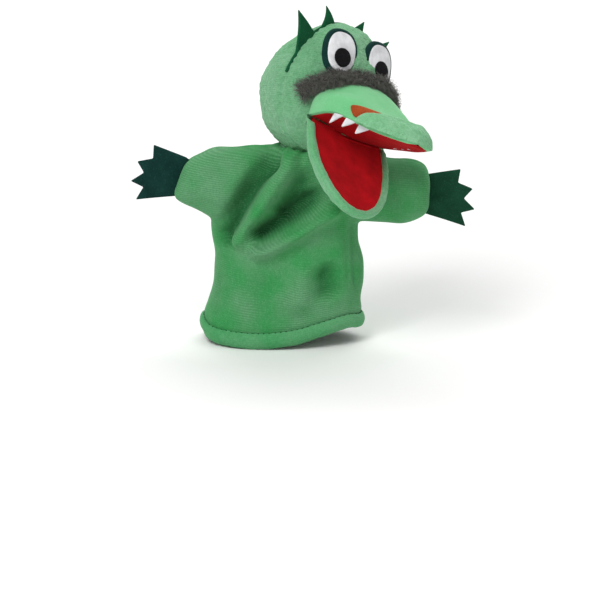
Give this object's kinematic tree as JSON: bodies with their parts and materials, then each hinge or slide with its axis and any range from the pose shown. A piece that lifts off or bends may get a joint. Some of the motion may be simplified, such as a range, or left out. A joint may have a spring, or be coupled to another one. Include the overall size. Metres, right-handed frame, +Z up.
{
  "type": "moving mouth finger puppet",
  "caption": "Plush crocodile finger puppet: stuffed head with a hinged felt-lined mouth on an open velour sleeve, with felt hands, eyes, teeth, crest and a fur brow.",
  "frame": {"origin": "middle of the sleeve's hem opening, in the plane of the hem", "axes": "+Z up the sleeve from the hem, the chest faces -Y, +X towards the puppet's left arm"},
  "size_m": [0.1233, 0.0748, 0.1161],
  "materials": {
    "body_velour": "short pile with fine ribs",
    "head_velour": "short pile with fine ribs",
    "dark_felt": "matt pressed felt",
    "rim_felt": "matt pressed felt",
    "white_felt": "matt pressed felt",
    "black_felt": "matt pressed felt",
    "nostril_felt": "matt pressed felt",
    "mouth_felt": "matt pressed felt",
    "fur": "loose grey brown pile",
    "thread": "twisted sewing thread",
    "board": "thin plastic board",
    "stuffing": "loose polyester fibre",
    "pocket_cloth": "plain woven lining"
  },
  "bodies": {
    "sleeve": {"sleeve_front_panel": "body_velour", "sleeve_back_panel": "body_velour", "hem_turn_up": "body_velour", "hem_stitching": "thread", "neck_collar": "body_velour"},
    "neck": {"neck_tube": "pocket_cloth"},
    "head": {"head_front_panel": "head_velour", "head_back_panel": "head_velour", "head_stuffing": "stuffing", "finger_pocket": "pocket_cloth", "snout_skin": "head_velour", "snout_stuffing": "stuffing", "upper_mouth_board": "board", "upper_mouth_lining": "mouth_felt", "mouth_fold": "mouth_felt", "nose_cap": "head_velour", "nostril_felt_left": "nostril_felt", "nostril_felt_right": "nostril_felt", "teeth_left": "white_felt", "teeth_right": "white_felt", "eye_rim_left": "rim_felt", "eye_rim_right": "rim_felt", "eye_white_left": "white_felt", "eye_white_right": "white_felt", "pupil_left": "black_felt", "pupil_right": "black_felt", "brow_fur": "fur", "crest_strip": "dark_felt"},
    "jaw": {"jaw_skin": "head_velour", "lower_mouth_lining": "mouth_felt", "lower_mouth_board": "board", "jaw_padding": "stuffing"},
    "arm_left": {"arm_skin_left": "body_velour", "arm_stuffing_left": "stuffing"},
    "arm_right": {"arm_skin_right": "body_velour", "arm_stuffing_right": "stuffing"},
    "hand_left": {"hand_felt_left": "dark_felt"},
    "hand_right": {"hand_felt_right": "dark_felt"}
  },
  "joints": [
    {"name": "head_turn", "type": "hinge", "parent": "sleeve", "child": "neck", "pos_m": [0.0103, 0.00148, 0.062], "axis": [0.1638, 0.0236, 0.9862], "range_deg": [-60, 12]},
    {"name": "head_nod", "type": "hinge", "parent": "neck", "child": "head", "pos_m": [0.0103, 0.00148, 0.062], "axis": [-0.7918, -0.5931, 0.1457], "range_deg": [-9, 9]},
    {"name": "jaw_open", "type": "hinge", "parent": "head", "child": "jaw", "pos_m": [0.02238, -0.0155, 0.07353], "axis": [0.7313, 0.571, -0.3732], "range_deg": [-42, 10], "stiffness_Nm_per_rad": 0.03},
    {"name": "arm_left_raise", "type": "hinge", "parent": "sleeve", "child": "arm_left", "pos_m": [0.03044, 0, 0.05037], "axis": [0, -1, 0], "range_deg": [-20, 20], "stiffness_Nm_per_rad": 0.03},
    {"name": "arm_right_raise", "type": "hinge", "parent": "sleeve", "child": "arm_right", "pos_m": [-0.01444, 0, 0.05363], "axis": [0, 1, 0], "range_deg": [-20, 20], "stiffness_Nm_per_rad": 0.03},
    {"name": "hand_left_flap", "type": "hinge", "parent": "arm_left", "child": "hand_left", "pos_m": [0.05228, 0, 0.04879], "axis": [0.0724, 0, 0.9974], "range_deg": [-35, 35], "stiffness_Nm_per_rad": 0.002},
    {"name": "hand_right_flap", "type": "hinge", "parent": "arm_right", "child": "hand_right", "pos_m": [-0.03628, 0, 0.05521], "axis": [-0.0724, 0, -0.9974], "range_deg": [-35, 35], "stiffness_Nm_per_rad": 0.002}
  ]
}
